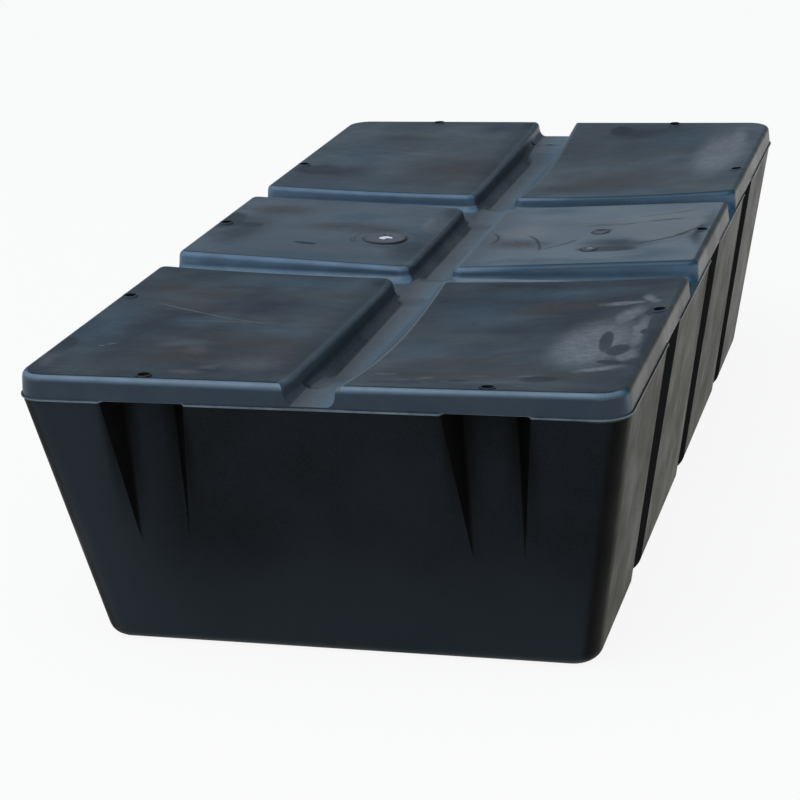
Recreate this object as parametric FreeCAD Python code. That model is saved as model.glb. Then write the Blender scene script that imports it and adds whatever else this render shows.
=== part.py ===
import FreeCAD, Part
import math
import os
from FreeCAD import Vector

# Dock float drum: a one-piece rotationally moulded polyethylene shell over a
# block of white expanded polystyrene, 24 by 48 by 12 inches nominal.
# X is the width, Y the length and Z is up. The float stands on z = 0 and the
# origin is under the middle of the deck. All sizes are in millimetres.

# Overall size
length = 1219.2
width = 609.6
height = 304.8

# Tub below the parting line of the mould
band_height = 25.8
parting_z = height - band_height
side_taper = 46.0
end_taper = 61.0
corner_radius = 30.0
base_edge_radius = 18.0
wall = 5.0
hidden_bevel_share = 0.7

# Flash left on the parting line
flash_proud = 1.5
flash_height = 1.8

# Bolt holes down through the edge of the deck
bolt_hole_radius = 6.0
bolt_hole_inset = 16.0
hole_lip_width = 2.2
hole_lip_height = 1.0

# Band and pads above the parting line
deck_z = height - hole_lip_height
band_lean = 1.5
pad_corner_radius = 12.0
pad_edge_radius = 7.0
steepest_pad = 18.0

# Sag of the deck towards its middle line
middle_pad_fall = 14.0
end_pad_fall = 7.0
channel_fall = 9.0

# Channels that part the deck into six pads
channel_floor_rise = 2.0
channel_floor_z = parting_z + channel_floor_rise
channel_half_width = 28.0
channel_wall_lean = 5.0
cross_channel_y = 167.0
channel_foot_radius = 11.0

# Mouths where the channels run out through the walls
mouth_radius = 11.0
mouth_foot_radius = 9.0
mouth_length = 58.0

# Shallow troughs in the floor of the long channel
trough_depth = 4.0
trough_half_width = 11.0
trough_corner_radius = 6.0
trough_clearance = 6.0

# Flutes in the walls, each under a bolt hole
flute_width = 86.0
flute_depth = 24.0
flute_side_slope = 18.0
flute_inner_radius = 8.0
end_flute_x = 170.0
end_flute_fade = 0.58
side_flute_y = 322.0
side_flute_foot_depth = 8.0

# Plugs, each pressed into a shallow seat in a pad
fill_plug_x = -82.0
fill_plug_y = -26.0
fill_plug_radius = 25.5
fill_plug_thickness = 3.0
fill_plug_seat = 1.6
fill_plug_spigot_radius = 19.0
fill_plug_vent_radius = 8.5
foam_nub_depth = 0.8
vent_plug_x = 170.0
vent_plug_front_y = -74.0
vent_plug_back_y = 4.0
vent_plug_radius = 9.5
vent_plug_thickness = 2.4
vent_plug_seat = 1.4
vent_plug_spigot_radius = 6.0
plug_bevel_share = 0.25
plug_clearance = 0.15
spigot_clearance = 0.3

half_x = width / 2 - flash_proud
half_y = length / 2 - flash_proud
side_hole_x = width / 2 - bolt_hole_inset
end_hole_y = length / 2 - bolt_hole_inset
mouth_y = half_y - mouth_length
overshoot = 40.0
up = Vector(0, 0, 1)
origin = Vector(0, 0, 0)


def rounded(block, radius, edges, hidden):
    """Rounds edges, or bevels those of the hidden foam, whose corners show nowhere."""
    if hidden:
        return block.makeChamfer(hidden_bevel_share * radius, edges)
    return block.makeFillet(radius, edges)


def tapered_block(low, high, radius, hidden=False):
    """A block between two rectangles (half x, half y, z), with rounded uprights."""
    block = Part.makeWedge(
        -low[0], low[2], -low[1], -high[1], -high[0],
        low[0], high[2], low[1], high[1], high[0],
    )
    block.rotate(origin, Vector(1, 0, 0), 90)
    uprights = [e for e in block.Edges if e.BoundBox.ZLength > (high[2] - low[2]) / 2]
    return rounded(block, radius, uprights, hidden)


def prism_along_y(corners, near, far):
    """A straight prism along Y over a closed section of (x, z) corners."""
    points = [Vector(x, near, z) for x, z in corners]
    face = Part.Face(Part.makePolygon(points + points[:1]))
    return face.extrude(Vector(0, far - near, 0))


def space_above(z, fall, near, far):
    """The space above two planes that stand at z over the side bolt holes and
    fall towards the middle line."""
    reach = half_x + 2 * overshoot
    edge_z = z + fall * (reach / side_hole_x - 1)
    top = height + overshoot
    corners = [(-reach, edge_z), (0, z - fall), (reach, edge_z), (reach, top), (-reach, top)]
    return prism_along_y(corners, near, far)


def spaces_above_pads(lowered=0.0):
    """The space above the three rows of pads, or above the foam under them."""
    reach = half_y + overshoot
    z = deck_z - lowered
    return [
        space_above(z, end_pad_fall, -reach, -cross_channel_y),
        space_above(z, middle_pad_fall, -cross_channel_y, cross_channel_y),
        space_above(z, end_pad_fall, cross_channel_y, reach),
    ]


def channel_section(floor_z, grow):
    """The (x, z) corners of a channel with leaning walls, from a floor to above the deck."""
    lean = channel_wall_lean / (deck_z - channel_floor_z + channel_fall)
    top_z = height + overshoot
    low = channel_half_width + grow - lean * (deck_z - floor_z)
    high = channel_half_width + grow + lean * (top_z - deck_z)
    return [(-low, floor_z), (low, floor_z), (high, top_z), (-high, top_z)]


def crossed_channels(grow=0.0):
    """The space of the long channel, up to its raised mouths, and of both cross channels."""
    section = channel_section(channel_floor_z - channel_fall - overshoot, grow)
    space = prism_along_y(section, -mouth_y - grow, mouth_y + grow)
    reach = half_x + overshoot
    for y in (-cross_channel_y, cross_channel_y):
        crosswise = prism_along_y(section, -reach, reach)
        crosswise.rotate(origin, up, 90)
        crosswise.translate(Vector(0, y, 0))
        space = space.fuse(crosswise)
    reach = half_y + overshoot
    return space.common(space_above(channel_floor_z - grow, channel_fall, -reach, reach)).removeSplitter()


def channel_space():
    """The channels with the pads' round corners and the round foot of their walls."""
    space = crossed_channels()
    pad_corners = []
    for edge in space.Edges:
        box = edge.BoundBox
        inside = abs(box.Center.x) < 2 * channel_half_width and abs(box.Center.y) < mouth_y - channel_half_width
        if inside and box.ZLength > box.XLength + box.YLength:
            pad_corners.append(edge)
    space = space.makeFillet(pad_corner_radius, pad_corners)
    feet = []
    for edge in space.Edges:
        box = edge.BoundBox
        crease = box.XLength < flash_height and abs(box.Center.x) < flash_height
        at_end = abs(box.Center.x) > half_x or abs(box.Center.y) > mouth_y - flash_height
        if box.ZMax < channel_floor_z + overshoot / 4 and not crease and not at_end:
            feet.append(edge)
    return space.makeFillet(channel_foot_radius, feet)


def mouth_spaces(grow=0.0):
    """The raised mouths at both ends of the long channel."""
    floor_z = channel_floor_z - grow
    far = half_y + overshoot
    mouth = prism_along_y(channel_section(floor_z, grow), mouth_y - channel_half_width, far)
    if not grow:
        feet = []
        for edge in mouth.Edges:
            if edge.BoundBox.ZMax < floor_z + flash_height and edge.BoundBox.YLength > mouth_length:
                feet.append(edge)
        mouth = mouth.makeFillet(mouth_foot_radius, feet)
    return [mouth, mouth.rotated(origin, up, 180)]


def trough_spaces(grow=0.0):
    """The troughs between the crossings and the mouths, with sloping sides."""
    crossing = channel_half_width + trough_clearance
    floor_z = channel_floor_z - channel_fall - trough_depth - grow
    spaces = []
    for near, far in (
        (-mouth_y + trough_clearance, -cross_channel_y - crossing),
        (-cross_channel_y + crossing, cross_channel_y - crossing),
        (cross_channel_y + crossing, mouth_y - trough_clearance),
    ):
        half_length = (far - near) / 2 + grow
        half_width = trough_half_width + grow
        space = tapered_block(
            (half_width - trough_depth, half_length - trough_depth, floor_z),
            (half_width + trough_depth, half_length + trough_depth, floor_z + 2 * trough_depth),
            trough_corner_radius,
        )
        space.translate(Vector(0, (near + far) / 2, 0))
        spaces.append(space)
    return spaces


def flute_space(drop, lean, grow):
    """A wedge cut into a wall that faces -Y at y = 0, from the parting line down."""
    rate = flute_side_slope / flute_depth
    outer = -overshoot / 4
    back = flute_depth + grow
    outer_half = flute_width / 2 + grow - rate * outer
    back_half = flute_width / 2 + grow - rate * back
    top = parting_z + flash_height / 2 + grow
    corners = [(-outer_half, outer), (outer_half, outer), (back_half, back), (-back_half, back)]
    points = [Vector(x, y, top) for x, y in corners]
    face = Part.Face(Part.makePolygon(points + points[:1]))
    wedge = face.extrude(Vector(0, lean, -drop))
    if grow:
        return wedge
    inner = [e for e in wedge.Edges if e.BoundBox.ZLength > drop / 2 and e.BoundBox.YMin > 0]
    return wedge.makeFillet(flute_inner_radius, inner)


def flute_spaces(grow=0.0):
    """The two flutes in each end wall, which fade out, and the three in each side wall."""
    end_drop = parting_z * (1 + end_flute_fade) / 2
    end_lean = (end_taper * end_flute_fade - flute_depth) * end_drop / (parting_z * end_flute_fade)
    side_drop = parting_z + overshoot
    side_lean = (side_taper + side_flute_foot_depth - flute_depth) * side_drop / parting_z
    spaces = []
    for x in (-end_flute_x, end_flute_x):
        space = flute_space(end_drop, end_lean, grow)
        space.translate(Vector(x, -half_y, 0))
        spaces.append(space)
    for y in (-side_flute_y, 0, side_flute_y):
        space = flute_space(side_drop, side_lean, grow)
        space.rotate(origin, up, 90)
        space.translate(Vector(half_x, y, 0))
        spaces.append(space)
    for space in list(spaces):
        spaces.append(space.rotated(origin, up, 180))
    return spaces


def bolt_hole_places():
    """The ten holes through the edge of the deck, each over the top of a flute."""
    places = [(x, y) for x in (-end_flute_x, end_flute_x) for y in (-end_hole_y, end_hole_y)]
    places += [(x, y) for x in (-side_hole_x, side_hole_x) for y in (-side_flute_y, 0, side_flute_y)]
    return places


def pad_fall(y):
    return middle_pad_fall if abs(y) < cross_channel_y else end_pad_fall


def deck_height(x, y):
    return deck_z - pad_fall(y) * (1 - abs(x) / side_hole_x)


def post(x, y, radius, low, high):
    return Part.makeCylinder(radius, high - low, Vector(x, y, low))


def tub_block(inset):
    """The tapered tub with its rounded foot, inset by a wall all round."""
    block = tapered_block(
        (half_x - side_taper - inset, half_y - end_taper - inset, inset),
        (half_x - inset, half_y - inset, parting_z),
        corner_radius - inset,
        hidden=inset > 0,
    )
    foot = [e for e in block.Edges if e.BoundBox.ZMax < inset + flash_height]
    return rounded(block, base_edge_radius - inset, foot, inset > 0)


def band_block(inset, low_z=parting_z - overshoot):
    """The nearly upright band, from below the parting line to above the pads."""
    high_z = height + overshoot
    rate = band_lean / (deck_z - parting_z)
    low = inset - rate * (parting_z - low_z)
    high = inset + rate * (high_z - parting_z)
    return tapered_block(
        (half_x - low, half_y - low, low_z),
        (half_x - high, half_y - high, high_z),
        corner_radius - inset,
        hidden=inset > 0,
    )


def mouth_corners(block):
    """The upright edges where the walls of the channels run out through the band."""
    near = 2 * channel_half_width
    found = []
    for edge in block.Edges:
        middle = edge.BoundBox.Center
        side_mouth = abs(middle.x) > half_x - wall and abs(abs(middle.y) - cross_channel_y) < near
        end_mouth = abs(middle.y) > half_y - wall and abs(middle.x) < near
        if (side_mouth or end_mouth) and edge.BoundBox.ZLength > mouth_radius:
            found.append(edge)
    return found


def pad_edges(block):
    """The edges round the flat tops of the pads."""
    least_up = math.cos(math.radians(steepest_pad))
    found = []
    for face in block.Faces:
        flat = isinstance(face.Surface, Part.Plane) and abs(face.normalAt(0, 0).z) > least_up
        if flat and face.CenterOfMass.z > channel_floor_z + wall:
            found += face.OuterWire.Edges
    return found


def make_deck_band():
    """The band with its six pads and their rounded edges."""
    band = band_block(0)
    for space in spaces_above_pads():
        band = band.cut(space)
    band = band.cut([channel_space()] + mouth_spaces())
    band = band.makeFillet(mouth_radius, mouth_corners(band))
    band = band.makeFillet(pad_edge_radius, pad_edges(band))
    reach_x = half_x + overshoot
    reach_y = half_y + overshoot
    return band.cut(Part.makeBox(2 * reach_x, 2 * reach_y, parting_z, Vector(-reach_x, -reach_y, 0)))


def make_flash():
    """The thin line of flash left where the two halves of the mould met."""
    flash = Part.makeBox(width, length, flash_height, Vector(-width / 2, -length / 2, parting_z - flash_height / 2))
    uprights = [e for e in flash.Edges if e.BoundBox.ZLength > flash_height / 2]
    return flash.makeFillet(corner_radius + flash_proud, uprights)


def make_foam_core():
    """The block of foam that fills the shell, a wall's thickness inside it."""
    core = tub_block(wall).fuse(band_block(wall, parting_z))
    for space in spaces_above_pads(lowered=wall):
        core = core.cut(space)
    core = core.cut([crossed_channels(wall)] + mouth_spaces(wall) + trough_spaces(wall))
    core = core.cut(flute_spaces(wall))
    bosses = [post(x, y, bolt_hole_radius + wall, parting_z, height) for x, y in bolt_hole_places()]
    return core.cut(bosses).fuse(foam_nub())


def foam_nub():
    """The foam that swelled up into the open middle of the fill plug."""
    top = fill_plug_thickness - fill_plug_seat - foam_nub_depth
    nub = post(0, 0, fill_plug_vent_radius - spigot_clearance, -2 * wall, top)
    return set_in_pad(nub, fill_plug_x, fill_plug_y)


def make_shell(core):
    """The moulded shell with its flutes, bolt holes and plug seats."""
    shell = tub_block(0).fuse([make_flash(), make_deck_band()])
    shell = shell.cut([channel_space()] + trough_spaces())
    shell = shell.cut(flute_spaces())
    lips = []
    holes = []
    for x, y in bolt_hole_places():
        top = deck_height(x, y)
        lips.append(post(x, y, bolt_hole_radius + hole_lip_width, top - wall, top + hole_lip_height))
        holes.append(post(x, y, bolt_hole_radius, parting_z - wall, height + overshoot))
    shell = shell.fuse(lips).cut(holes)
    seats = [plug_seat(fill_plug_x, fill_plug_y, fill_plug_radius, fill_plug_seat, fill_plug_spigot_radius)]
    for y in (vent_plug_front_y, vent_plug_back_y):
        seats.append(plug_seat(vent_plug_x, y, vent_plug_radius, vent_plug_seat, vent_plug_spigot_radius))
    return shell.cut(seats).cut(core)


def set_in_pad(shape, x, y):
    """Moves a shape made with the pad's surface as z = 0 to its place on the pad."""
    tilt = math.degrees(math.atan(pad_fall(y) / side_hole_x))
    shape.rotate(origin, Vector(0, 1, 0), math.copysign(tilt, -x))
    shape.translate(Vector(x, y, deck_height(x, y)))
    return shape


def plug_seat(x, y, radius, depth, spigot_radius):
    """The shallow seat of a plug and the hole through the wall below it."""
    seat = post(0, 0, radius + plug_clearance, -depth, overshoot)
    hole = post(0, 0, spigot_radius + plug_clearance, -2 * wall, overshoot)
    return set_in_pad(seat.fuse(hole), x, y)


def make_plug(x, y, radius, thickness, depth, spigot_radius, vent_radius=0.0):
    """A flat disc with a spigot that ends just above the foam."""
    disc = post(0, 0, radius, -depth, thickness - depth)
    rim = [e for e in disc.Edges if e.BoundBox.ZMin > thickness / 2 - depth]
    disc = disc.makeChamfer(plug_bevel_share * thickness, rim)
    plug = disc.fuse(post(0, 0, spigot_radius, spigot_clearance - wall, thickness / 2 - depth))
    if vent_radius:
        plug = plug.cut(post(0, 0, vent_radius, -2 * wall, overshoot))
    return set_in_pad(plug, x, y)


def make_fill_plug():
    """The welded plug of the fill hole, open in the middle where the foam shows."""
    return make_plug(
        fill_plug_x, fill_plug_y, fill_plug_radius, fill_plug_thickness,
        fill_plug_seat, fill_plug_spigot_radius, fill_plug_vent_radius,
    )


def make_vent_plug(y):
    """One of the two small plugs that close the steam vents."""
    return make_plug(
        vent_plug_x, y, vent_plug_radius, vent_plug_thickness, vent_plug_seat, vent_plug_spigot_radius
    )


def main():
    os.makedirs("parts", exist_ok=True)
    core = make_foam_core()
    nodes = {
        "shell": make_shell(core),
        "foam_core": core,
        "fill_plug": make_fill_plug(),
        "vent_plug_front": make_vent_plug(vent_plug_front_y),
        "vent_plug_back": make_vent_plug(vent_plug_back_y),
    }
    for name, shape in nodes.items():
        solid = max(shape.removeSplitter().Solids, key=lambda s: s.Volume)
        solid.exportStep("parts/%s.step" % name)
        box = solid.BoundBox
        size = (box.XLength, box.YLength, box.ZLength)
        state = (len(shape.Solids), solid.isValid(), solid.Volume / 1e6)
        print("%-16s solids %d valid %s %7.3f l" % ((name,) + state), "%.1f x %.1f x %.1f" % size)


main()
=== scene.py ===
# %% [markdown]
# # A dock float drum, dressed for its portrait
# The float is one hollow moulding of black polyethylene, filled with white foam
# and closed with three plugs. It could be modelled afresh here, but the CAD
# model already gives every size. So this lesson loads that model, lets its deck
# sag as the real one has, and gives each surface its finish.

# %% Load the CAD model
import bpy
import bmesh
import math
import numpy as np
from mathutils import Matrix, Vector


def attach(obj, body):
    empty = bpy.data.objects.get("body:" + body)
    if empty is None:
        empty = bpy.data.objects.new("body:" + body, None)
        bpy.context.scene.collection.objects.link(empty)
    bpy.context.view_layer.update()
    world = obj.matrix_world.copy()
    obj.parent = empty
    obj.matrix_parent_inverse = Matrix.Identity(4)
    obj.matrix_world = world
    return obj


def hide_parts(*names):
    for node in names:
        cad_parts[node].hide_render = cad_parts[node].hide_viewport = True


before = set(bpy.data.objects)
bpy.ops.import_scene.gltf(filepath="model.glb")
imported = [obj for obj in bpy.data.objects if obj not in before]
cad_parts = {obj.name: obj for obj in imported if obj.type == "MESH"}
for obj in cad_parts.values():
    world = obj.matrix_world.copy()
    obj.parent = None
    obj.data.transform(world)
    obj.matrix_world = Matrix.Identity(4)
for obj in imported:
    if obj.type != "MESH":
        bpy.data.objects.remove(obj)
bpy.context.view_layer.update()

# %% [markdown]
# ## The camera
# The photo was taken from a little above the deck with a long lens. A camera
# could be turned by eye until it fits. Here its place was found by matching the
# deck's corners, the parting line and the bolt holes to the photo, which gives
# the heading, the tilt, a slight roll and the lens. Its rotation is built from
# three directions, because they are easier to check than three Euler angles.

# %% Where the camera looks
camera_place = Vector((0.6431, -2.5699, 0.9630))
heading, tilt, roll = math.radians(-15.761), math.radians(18.218), math.radians(-3.031)

ahead = Vector((
    math.sin(heading) * math.cos(tilt),
    math.cos(heading) * math.cos(tilt),
    -math.sin(tilt),
))
level_right = Vector((math.cos(heading), -math.sin(heading), 0))
level_up = level_right.cross(ahead)
right = math.cos(roll) * level_right + math.sin(roll) * level_up
up = -math.sin(roll) * level_right + math.cos(roll) * level_up
print("camera looks along", [round(v, 3) for v in ahead])

# %% Place the camera
focal_length, sensor_width = 103.68, 36.0
nearest, farthest = 0.05, 60.0

lens = bpy.data.cameras.new("photo_lens")
lens.lens, lens.sensor_width = focal_length, sensor_width
lens.clip_start, lens.clip_end = nearest, farthest
camera = bpy.data.objects.new("camera", lens)
camera.matrix_world = Matrix((
    (right.x, up.x, -ahead.x, camera_place.x),
    (right.y, up.y, -ahead.y, camera_place.y),
    (right.z, up.z, -ahead.z, camera_place.z),
    (0, 0, 0, 1),
))
bpy.context.scene.collection.objects.link(camera)
bpy.context.scene.camera = camera
bpy.context.scene.view_settings.view_transform = "Standard"
print("camera", [round(v, 3) for v in camera_place], "lens", focal_length, "mm")

# %% [markdown]
# ## A few short words for node graphs
# A finish is a graph of nodes. It could be drawn by hand in the Shader Editor,
# but a script makes the same graph each time. Writing every node out is long,
# so these helpers add one node, set its sockets and return its output. A socket
# takes either a plain value or the output of another node.

# %% Add one node
def add_node(tree, kind, settings=None, sockets=None, output=0):
    node = tree.nodes.new(kind)
    for name, value in (settings or {}).items():
        setattr(node, name, value)
    for name, value in (sockets or {}).items():
        if isinstance(value, bpy.types.NodeSocket):
            tree.links.new(value, node.inputs[name])
        else:
            node.inputs[name].default_value = value
    return node.outputs[output]


def coordinates(tree, vector):
    return add_node(tree, "ShaderNodeSeparateXYZ", None, {"Vector": vector}).node.outputs


print("helpers: add_node, coordinates")


# %% Sums and mixtures
def calc(tree, how, a, b=0.0, c=0.0):
    return add_node(tree, "ShaderNodeMath", {"operation": how}, {0: a, 1: b, 2: c})


def times(tree, a, b):
    return calc(tree, "MULTIPLY", a, b)


def plus(tree, a, b):
    return calc(tree, "ADD", a, b)


def unsigned(tree, value):
    return calc(tree, "ABSOLUTE", value)


def opaque(tone):
    return tone if isinstance(tone, bpy.types.NodeSocket) else (*tone, 1.0)


def mix(tree, amount, first, second):
    return add_node(tree, "ShaderNodeMix", {"data_type": "RGBA"}, {
        0: amount, 6: opaque(first), 7: opaque(second),
    }, output=2)


print("helpers: calc, times, plus, unsigned, mix")

# %% [markdown]
# A mask says where a tone goes: 1 is all of it and 0 is none. Most masks here
# are soft ramps over a height, a distance or the way a surface faces. A smooth
# ramp stays between its ends by itself, so its clamp is off, which keeps a
# large graph small enough for the renderer.

# %% Patterns and ramps
def noise(tree, where, scale, detail=4.0, roughness=0.55, distortion=0.0):
    return add_node(tree, "ShaderNodeTexNoise", None, {
        "Vector": where, "Scale": scale, "Detail": detail,
        "Roughness": roughness, "Distortion": distortion,
    })


def stretched(tree, where, scale, turn=0.0):
    return add_node(tree, "ShaderNodeMapping", None, {
        "Vector": where, "Scale": scale, "Rotation": (0, 0, turn),
    })


def ramp(tree, value, low, high, bottom=0.0, top=1.0):
    smooth = {"interpolation_type": "SMOOTHSTEP", "clamp": False}
    return add_node(tree, "ShaderNodeMapRange", smooth, {
        "Value": value, "From Min": low, "From Max": high, "To Min": bottom, "To Max": top,
    })


print("helpers: noise, stretched, ramp")


# %% Five kinds of mask
def fade_in(tree, value, low, high, top=1.0):
    return ramp(tree, value, low, high, 0.0, top)


def fade_out(tree, value, low, high, top=1.0):
    return ramp(tree, value, low, high, top, 0.0)


def outside(tree, value, low, high):
    return fade_in(tree, unsigned(tree, value), low, high)


def within(tree, value, low, high):
    return fade_out(tree, unsigned(tree, value), low, high)


def strip(tree, value, start, full, still, end, top=1.0):
    return times(tree, fade_in(tree, value, start, full, top), fade_out(tree, value, still, end))


print("helpers: fade_in, fade_out, outside, within, strip")


# %% Start a finish, and give it a relief
def new_finish(name):
    material = bpy.data.materials.new(name)
    material.use_nodes = True
    tree = material.node_tree
    shader = tree.nodes["Principled BSDF"]
    where = add_node(tree, "ShaderNodeTexCoord", output="Object")
    return material, tree, shader, where


def add_relief(tree, shader, height, strength, distance, invert=False):
    bump = add_node(tree, "ShaderNodeBump", {"invert": invert}, {
        "Height": height, "Strength": strength, "Distance": distance,
    })
    tree.links.new(bump, shader.inputs["Normal"])


print("helpers: new_finish, add_relief")

# %% [markdown]
# ## Floor and light
# The photo's background is plain white, so the float stands on a wide pale
# floor that fills the whole view. More light on a grey floor would also turn it
# white, but it would flood the float too. So camera, glossy and transmission
# rays see most of the floor as an even white, while its plain part keeps the
# soft shadow.

# %% Make the floor
floor_width = 24
bpy.ops.mesh.primitive_plane_add(size=floor_width, location=(0, 0, 0))
floor = bpy.context.object
floor.name = "floor"
print("floor", floor.dimensions[:2])

# %% Finish of the floor
floor_grey, share_of_white = 0.8, 0.90
floor_finish, tree, shader, where = new_finish("pale_floor")
shader.inputs["Base Color"].default_value = opaque((floor_grey, floor_grey, floor_grey))
shader.inputs["Roughness"].default_value = 0.9
shader.inputs["Specular IOR Level"].default_value = 0.0
rays = add_node(tree, "ShaderNodeLightPath").node
seen = calc(tree, "MAXIMUM", rays.outputs["Is Camera Ray"], rays.outputs["Is Glossy Ray"])
seen = calc(tree, "MAXIMUM", seen, rays.outputs["Is Transmission Ray"])
white = add_node(tree, "ShaderNodeEmission", None, {"Color": (1, 1, 1, 1), "Strength": 1.0})
blend = add_node(tree, "ShaderNodeMixShader", None, {
    0: times(tree, seen, share_of_white), 1: shader.outputs[0], 2: white,
})
tree.links.new(blend, tree.nodes["Material Output"].inputs["Surface"])
floor.data.materials.append(floor_finish)
print("finish of the floor:", len(tree.nodes), "nodes")

# %% [markdown]
# ## The sky
# Satin black plastic shows little but reflections, so the sky matters more than
# its colour. At the low angle of the photo the deck mirrors the sky low behind
# the float, a middling blue grey. Above that the sky is darker, and overhead
# and in front it is bright, which draws the pale line along each rounding. A
# picture of a sky would bring trees and roofs with it, so a colour ramp holds
# the bands, from the horizon behind the float over the top to that in front.

# %% Make the sky
sky_bands = (
    (0.00, (0.30, 0.38, 0.46)),
    (0.12, (0.30, 0.39, 0.48)),
    (0.22, (0.13, 0.17, 0.22)),
    (0.34, (0.30, 0.36, 0.43)),
    (0.50, (0.85, 0.93, 1.00)),
    (0.80, (0.88, 0.95, 1.00)),
    (1.00, (0.60, 0.64, 0.68)),
)
dimmest_at_right = 0.4

world = bpy.data.worlds.new("soft_sky")
bpy.context.scene.world = world
world.use_nodes = True
tree = world.node_tree
toward = coordinates(tree, add_node(tree, "ShaderNodeTexCoord", output="Generated"))
from_back = calc(tree, "ARCTAN2", toward[2], toward[1])
sky = add_node(tree, "ShaderNodeValToRGB", None, {"Fac": calc(tree, "DIVIDE", from_back, math.pi)})
stops = sky.node.color_ramp.elements
for i, (position, tone) in enumerate(sky_bands):
    stop = stops[i] if i < 2 else stops.new(position)
    stop.position, stop.color = position, opaque(tone)
dim_right = ramp(tree, toward[0], 0.0, 0.8, 1.0, dimmest_at_right)
tree.links.new(sky, tree.nodes["Background"].inputs["Color"])
tree.links.new(dim_right, tree.nodes["Background"].inputs["Strength"])
print("sky bands", len(stops))

# %% [markdown]
# ## Two soft lamps
# The sky alone leaves the float without a lit side. A sun lamp would draw hard
# edges that the photo doesn't have, so two wide area lamps do it: one over the
# deck, and a weaker, warmer one at the right for the side wall. Their power is
# given per area, so a panel can be made larger without new guesses.

# %% Hang the lamps
def soft_panel(name, place, target, width, depth, brightness, colour=(1, 1, 1)):
    lamp = bpy.data.lights.new(name, "AREA")
    lamp.shape, lamp.size, lamp.size_y = "RECTANGLE", width, depth
    lamp.energy = brightness * math.pi * width * depth
    lamp.color = colour
    panel = bpy.data.objects.new(name, lamp)
    panel.location = place
    aim = Vector(target) - Vector(place)
    panel.rotation_euler = aim.to_track_quat("-Z", "Y").to_euler()
    bpy.context.scene.collection.objects.link(panel)


warm_light = (1.0, 0.93, 0.82)
soft_panel("panel_over_deck", (-0.6, -1.6, 3.4), (0, 0, 0.3), 2.6, 2.2, 1.6)
soft_panel("panel_at_right", (4.2, -0.4, 1.2), (0, 0, 0.2), 2.4, 1.4, 0.8, warm_light)

# %% [markdown]
# ## How the deck has sunk
# The CAD model parts the deck into flat planes that fall to the middle line.
# The real deck is a soft skin over foam: its edges stay straight, the middle
# has sunk about a centimetre, and the two end pads on the right have dished
# further. It could be sculpted, but a formula can be read and changed. These
# functions give both heights, so their difference moves the skin.

# %% Sizes of the deck, from the CAD model
half_width, half_length = 0.3048, 0.6096
deck_top, floor_edge, parting = 0.3038, 0.281, 0.279
hole_line = 0.2888
cross_channel = 0.167
middle_fall, end_fall, floor_fall = 0.014, 0.007, 0.009
print("pads stand", round((deck_top - floor_edge) * 1000, 1), "mm above the channels' ends")


# %% Sag of the pads
def smooth_step(value, low, high):
    t = np.clip((value - low) / (high - low), 0, 1)
    return t * t * (3 - 2 * t)


def plane_height(x, y):
    fall = np.where(np.abs(y) < cross_channel, middle_fall, end_fall)
    return deck_top - fall * (1 - np.abs(x) / hole_line)


soft_sag = 0.011
right_dish, dish_run = 0.0145, 0.02
shoulder_start, shoulder_width, shoulder_drop = 0.031, 0.026, 0.0035
pad_inset, rim_run = 0.028, (0.004, 0.040)


def sagged_height(x, y):
    across = 1 - np.clip(np.abs(x) / half_width, 0, 1) ** 2
    along = 1 - np.clip(np.abs(y) / half_length, 0, 1) ** 2
    part = np.clip((np.abs(y) - cross_channel) / (half_length - cross_channel), 0, 1)
    dish = right_dish * across * np.sin(np.pi * part) * smooth_step(x, 0.0, dish_run)
    soft = deck_top - soft_sag * across * along - dish
    from_end = np.minimum(np.abs(np.abs(y) - cross_channel) - pad_inset, half_length - np.abs(y))
    past_rim = smooth_step(-x, shoulder_start, shoulder_start + shoulder_width)
    shoulder = shoulder_drop * (1 - past_rim) * (x < 0)
    shoulder = shoulder * smooth_step(from_end, *rim_run)
    return np.where(np.abs(y) < cross_channel, plane_height(x, y), soft) - shoulder


sunk = float(deck_top - sagged_height(0.05, -0.388))
print("the right front pad has sunk", round(sunk * 1000, 1), "mm at its inner side")

# %% [markdown]
# The floor of the long channel isn't flat either. It runs down from the raised
# mouths, and a shallow trough with soft ends lies in each stretch of it. The
# step at the near mouth stays. The one at the far mouth is levelled, because the
# photo shows no edge there.

# %% Floor of the channels
mouth_line = 0.5501
mouth_step, far_mouth_step = 0.0025, 0.0
run_in = 0.09
trough_depth, crease = 0.004, 0.008
trough_ends, trough_mouth, trough_sides = (0.030, 0.056), (0.02, 0.08), (0.010, 0.024)


def floor_plane(x):
    return floor_edge - floor_fall * (1 - np.abs(x) / hole_line)


def floor_shape(x, y):
    away = mouth_line - np.abs(y)
    from_cross = np.abs(np.abs(y) - cross_channel)
    step = np.where(y < 0, mouth_step, far_mouth_step)
    rise = (floor_edge - step - floor_plane(x)) * (1 - smooth_step(away, 0, run_in))
    trough = trough_depth * smooth_step(from_cross, *trough_ends) * smooth_step(away, *trough_mouth)
    trough = trough * (1 - smooth_step(np.abs(x), *trough_sides))
    return floor_plane(np.hypot(x, crease)) + rise - trough


print("floor at the crossing", round(float(floor_shape(0.0, cross_channel)) * 1000, 1), "mm up")

# %% [markdown]
# Now each point learns how far it moves. A point on top of a pad moves by the
# whole sag, one on a channel's floor follows the floor, and one on the wall
# between them takes a share by its height. The outer edges stay where they are.

# %% How far each point moves
channel_reach, skin_of_floor = 0.0325, 0.0046
hair, step_reach, step_rim = 1e-4, 3e-4, 2e-4
edge_run, edge_foot, band_rim = (0.004, 0.06), 0.002, 0.0005


def at_far_step(x, y, z):
    close = (np.abs(y - mouth_line) < step_reach) & (np.abs(x) < channel_reach)
    return close & (z - floor_plane(x) > -skin_of_floor) & (z < floor_edge + step_rim)


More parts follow.
